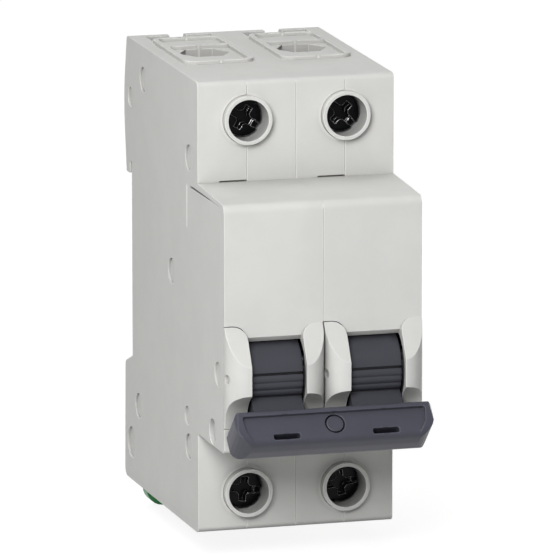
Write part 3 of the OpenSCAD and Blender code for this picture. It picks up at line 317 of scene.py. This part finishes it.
# Terminal screws: blackened steel, glossy from the oil they are quenched in, with a cross recess
# and a slot for the driver. They turn in the case and draw the clamping cages.
def metal(name, colour, roughness, brushed=(1.0, 1.0, 1.0), tarnish=0.2, scale=900.0, corner=0.12,
          bare_and_glint=None):
    """Bare or plated metal, brushed along its smallest number, with edges in a given pale colour:
    partly wear, partly painted glints.
    """
    finish, w = new_finish(name)
    place = w.add("TexCoord", out=3)
    grain = w.add("Mapping", {}, {"Vector": place, "Scale": brushed})
    streak = w.add("TexNoise", {}, {
        "Vector": grain, "Scale": scale, "Detail": 3.0, "Roughness": 0.6})
    cloud = w.add("TexNoise", {}, {
        "Vector": place, "Scale": 260.0, "Detail": 4.0, "Roughness": 0.6})
    body = cloud.step(0.25, 0.75).mix(shade(colour, 1 - tarnish), colour)
    eased = w.add("Bevel", {"samples": 6}, {"Radius": corner * mm})
    if bare_and_glint:
        # Pale edges: partly wear, partly painted glints
        normal = w.add("NewGeometry", out=1)
        even = w.add("VectorMath", {"operation": "DOT_PRODUCT"}, {0: normal, 1: eased}, out=1)
        body = ((1 - even) * cloud).step(0.02, 0.1).mix(body, bare_and_glint)
    skin = w.add("BsdfPrincipled", {}, {
        "Base Color": body,
        "Metallic": 1.0,
        "Roughness": roughness - 0.08 + 0.16 * streak,
        "Normal": w.add("Bump", {}, {
            "Strength": 0.2, "Distance": 0.02 * mm, "Height": streak, "Normal": eased}),
    })
    w.add("OutputMaterial", {}, {"Surface": skin})
    return finish


# Their pale edges are partly worn steel and partly painted glints.
black_steel = metal("black_steel", srgb(24, 24, 25), 0.24, scale=700.0, corner=0.2, tarnish=0.4,
                    bare_and_glint=srgb(205, 205, 206))
dress(black_steel, "left_upper_screw", "right_upper_screw", "left_lower_screw", "right_lower_screw")

# Clamping cages: bent and plated steel boxes, one in each terminal.
# The screws draw them to the front, so that they press the wire on the strap.
plated_steel = metal("plated_steel", srgb(205, 204, 200), 0.32, brushed=(3.0, 0.3, 3.0))
dress(plated_steel, "left_upper_cage", "right_upper_cage", "left_lower_cage", "right_lower_cage")

# Terminal straps: rolled copper strip, bent to lead from each cage to the coil or to the bimetal.
# They lie in slots of the case's inner walls.
copper = metal("copper", srgb(202, 132, 98), 0.32, brushed=(0.3, 3.0, 3.0))
dress(copper, "left_upper_strap", "right_upper_strap", "left_lower_strap", "right_lower_strap")

# The toggles and the bar that ties them: slate plastic, satin, with a painted highlight on the bar's
# edges.
# The drums turn on steel axles, and the bar is pressed over both stems.
handle_slate = moulded("handle_slate", srgb(67, 68, 78), 2200.0, 0.44, mottle=0.05, dust_and_shade=0.2,
                       gloss=0.3, corner=0.35, edge_highlight=0.9)
dress(handle_slate, "handle_tie_bar")
# The drums are darkened strongly near the wings: painted shade standing for the wings' shadow on
# them.
drum_slate = moulded("drum_slate", srgb(62, 63, 70), 2200.0, 0.46, mottle=0.05, dust_and_shade=0.8,
                     gloss=0.25, corner=0.2, reach=2.2)
dress(drum_slate, "left_toggle", "right_toggle")
plain_steel = metal("plain_steel", srgb(176, 178, 182), 0.35, brushed=(0.2, 3.0, 3.0))
dress(plain_steel, "handle_axles")


# Handle springs: round spring wire wound twice round each handle axle. One leg stands on the case
# and the other on the drum, so the coil winds up as the handle turns.
def tube(name, path, radius, finish, sides=12):
    """A round wire along a path given in millimetres, closed with domed ends."""
    points = [Vector(p) for p in path]
    last = len(points) - 1
    ways = [(points[min(i + 1, last)] - points[max(i - 1, 0)]).normalized()
            for i in range(len(points))]
    # Each ring is a point of the path, a share of the radius and a shift along the way
    dome = ((0.25, 0.94), (0.7, 0.68))
    rings = [(0, share, -shift) for share, shift in dome]
    rings += [(i, 1.0, 0.0) for i in range(len(points))]
    rings += [(last, share, shift) for share, shift in reversed(dome)]
    across = ways[0].orthogonal().normalized()
    places, faces = [], []
    for i, share, shift in rings:
        across = (across - ways[i] * across.dot(ways[i])).normalized()
        beside = ways[i].cross(across)
        for k in range(sides):
            a = 2 * math.pi * k / sides
            round_way = math.cos(a) * across + math.sin(a) * beside
            places.append((points[i] + radius * (share * round_way + shift * ways[i])) * mm)
    for r in range(len(rings) - 1):
        near, far = r * sides, (r + 1) * sides
        for k in range(sides):
            n = (k + 1) % sides
            faces.append((near + k, near + n, far + n, far + k))
    faces.append(tuple(range(sides))[::-1])
    faces.append(tuple(range((len(rings) - 1) * sides, len(rings) * sides)))
    mesh = bpy.data.meshes.new(name)
    mesh.from_pydata(places, [], faces)
    mesh.polygons.foreach_set("use_smooth", [True] * len(faces))
    mesh.materials.append(finish)
    piece = bpy.data.objects.new(name, mesh)
    scene.collection.objects.link(piece)
    return piece


def node_box(name):
    """The low and high corner of a CAD node in millimetres."""
    return (Vector(corner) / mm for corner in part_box(name))


spring_steel = metal("spring_steel", srgb(178, 180, 184), 0.28, scale=1600.0)
pole_middles = {"left": -9.0, "right": 9.0}
axle_y, axle_z = -57.0, -9.0
coil_radius, wire_radius, coil_turns, coil_steps = 2.3, 0.3, 2, 96
leg_reaches, foot_reach = (5.0, 3.4, 1.7), 2.2
for side in pole_middles:
    low, high = node_box(side + "_handle_spring")
    x0, x1 = low.x + wire_radius, high.x - wire_radius
    path = [(x0, axle_y + reach, axle_z - coil_radius) for reach in leg_reaches]
    for i in range(coil_steps + 1):
        share = i / coil_steps
        a = 2 * math.pi * coil_turns * share
        path.append((x0 + (x1 - x0) * share, axle_y - coil_radius * math.sin(a),
                     axle_z - coil_radius * math.cos(a)))
    path += [(x1, axle_y - share * foot_reach, axle_z - coil_radius) for share in (0.5, 1.0)]
    spring = tube(side + "_torsion_spring", path, wire_radius, spring_steel)
    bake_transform(spring)
    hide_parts(side + "_handle_spring")

# Drive links: bent spring steel wire that carries the drum's turn to the contact arm.
# One end is hooked into each drum and the other runs in a slot of the arm.
dress(spring_steel, "left_drive_link", "right_drive_link")

# Contact arms: stamped copper levers, each with a silver button riveted to its tip.
# They swing on steel axles that stand in bosses of the case.
silver = metal("contact_silver", srgb(222, 221, 216), 0.28)
dress(copper, "left_contact_arm", "right_contact_arm")
dress(silver, "left_moving_tip", "right_moving_tip")
dress(plain_steel, "contact_arm_axles")

# Contact springs: compression springs of fine spring steel wire with closed ends.
# Each stands between a rib of the case and its arm.
coil_radius, wire_radius, coil_turns, coil_steps = 1.7, 0.25, 6.25, 256
closed_share = 0.16  # of the wire's length, in each closed end
for side, middle in pole_middles.items():
    low, high = node_box(side + "_contact_spring")
    y0, y1 = low.y + wire_radius, high.y - wire_radius
    height = (low.z + high.z) / 2
    path = []
    for i in range(coil_steps + 1):
        share = i / coil_steps
        first = min(share / closed_share, 1.0)
        open_part = min(max((share - closed_share) / (1 - 2 * closed_share), 0.0), 1.0)
        last = max((share - 1 + closed_share) / closed_share, 0.0)
        y = y0 + wire_radius * (first + last) + (y1 - y0 - 2 * wire_radius) * open_part
        a = 2 * math.pi * coil_turns * share
        path.append((middle + coil_radius * math.cos(a), y, height + coil_radius * math.sin(a)))
    spring = tube(side + "_closing_spring", path, wire_radius, spring_steel, sides=10)
    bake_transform(spring)
    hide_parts(side + "_contact_spring")


# Braids: seven twisted copper strands that carry the current from the bimetal to the moving arm.
# The ends are pressed together where they are welded on.
def smooth(path, steps):
    """The same path with more points, on a curve through all of them."""
    knots = [Vector(p) for p in path]
    knots = [2 * knots[0] - knots[1]] + knots + [2 * knots[-1] - knots[-2]]
    fine = []
    for a, b, c, d in zip(knots, knots[1:], knots[2:], knots[3:]):
        for k in range(steps):
            t = k / steps
            fine.append(0.5 * (2 * b + (c - a) * t + (2 * a - 5 * b + 4 * c - d) * t * t
                               + (3 * b - a - 3 * c + d) * t ** 3))
    return fine + [knots[-2]]


braid_route = (
    (-2.08, -34.1, -10.0), (-2.08, -34.1, -12.0), (-2.08, -34.4, -14.2), (-1.9, -35.8, -16.0),
    (-1.72, -37.2, -16.2), (-1.72, -37.9, -15.2), (-1.72, -38.37, -13.4), (-1.72, -38.37, -12.4))
outer_strands, strand_radius, lay_radius, twist = 6, 0.135, 0.27, 0.28
pole_way = Vector((1, 0, 0))
for side, middle in pole_middles.items():
    route = smooth([(middle + x, y, z) for x, y, z in braid_route], 8)
    strands = []
    for s in range(outer_strands + 1):
        off = 0.0 if s == outer_strands else lay_radius
        path = []
        for i, p in enumerate(route):
            way = (route[min(i + 1, len(route) - 1)] - route[max(i - 1, 0)]).normalized()
            aside = way.cross(pole_way).normalized()
            a = 2 * math.pi * s / outer_strands + twist * i
            path.append(p + off * (math.cos(a) * pole_way + math.sin(a) * aside))
        strands.append(tube(f"{side}_braid_strand_{s}", path, strand_radius, copper, sides=8))
    for strand in strands:
        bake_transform(strand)
    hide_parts(side + "_braid")

# Fixed contacts and arc runners: bent copper strip, the contacts with a silver tip.
# They stand in ribs of the case on both sides of the arc chute.
dress(copper, "left_fixed_contact", "right_fixed_contact", "lower_arc_runners")
dress(silver, "fixed_contact_tips")

# Arc chutes: a stack of plated steel plates that splits and cools the arc.
# The plates are held between two cheeks of vulcanised fibre.
dress(plated_steel, "left_arc_plates", "right_arc_plates")
fibre_board = moulded("fibre_board", srgb(150, 104, 70), 1200.0, 0.7, mottle=0.12, gloss=0.15)
dress(fibre_board, "arc_chute_cheeks")

# Solenoids: enamelled copper wire wound on a black bobbin, in a yoke of bent steel with a turned
# core at one end and a plunger that strikes the trip lever at the other.
inner_black = moulded("inner_black", srgb(44, 44, 46), 1800.0, 0.5)
dress(inner_black, "coil_bobbins")
dress(plain_steel, "coil_yokes", "coil_cores", "left_plunger", "right_plunger")
enamel = metal("enamelled_wire", srgb(176, 96, 58), 0.22)
coil_radius, wire_radius, coil_turns, coil_steps = 4.15, 0.8, 7, 336
coil_front, coil_length, coil_z = -31.6, 14.7, 16.0
front_lead, rear_lead = (1.3, 5.0, 9.0, 12.5, 14.4), (17.6, 19.0, 21.0, 23.2)
for side, middle in pole_middles.items():
    path = [(middle + coil_radius, coil_front, z) for z in front_lead]
    for i in range(coil_steps + 1):
        share = i / coil_steps
        a = 2 * math.pi * coil_turns * share
        path.append((middle + coil_radius * math.cos(a), coil_front + coil_length * share,
                     coil_z + coil_radius * math.sin(a)))
    path += [(middle + coil_radius, coil_front + coil_length, z) for z in rear_lead]
    winding = tube(side + "_winding", path, wire_radius, enamel, sides=14)
    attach(winding, "case")
    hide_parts(side + "_trip_coil")

# Trip levers: black plastic levers that the plunger or the bimetal pushes, on steel axles.
# A steel rod through the middle wall ties both, so that both poles trip together.
dress(inner_black, "left_trip_lever", "right_trip_lever")
dress(plain_steel, "trip_lever_axles", "trip_link_rod")

# Bimetal strips: two metals rolled into one strip that bends as it warms.
# Each is welded to its lower strap at the foot and set by a brass screw.
bimetal = metal("bimetal_strip", srgb(188, 176, 150), 0.36, brushed=(3.0, 3.0, 0.3))
dress(bimetal, "left_bimetal", "right_bimetal")
brass = metal("brass", srgb(205, 172, 102), 0.3)
dress(brass, "calibration_screws")

# Rail clips: green plastic plates that hold the breaker on its rail, one for each pole.
# They slide in guides at the rear of the case and are drawn down by their tongues.
clip_green = moulded("clip_green", srgb(66, 154, 92), 1800.0, 0.4, mottle=0.06, dust_and_shade=0.3, gloss=0.45)
dress(clip_green, "left_rail_clip", "right_rail_clip")
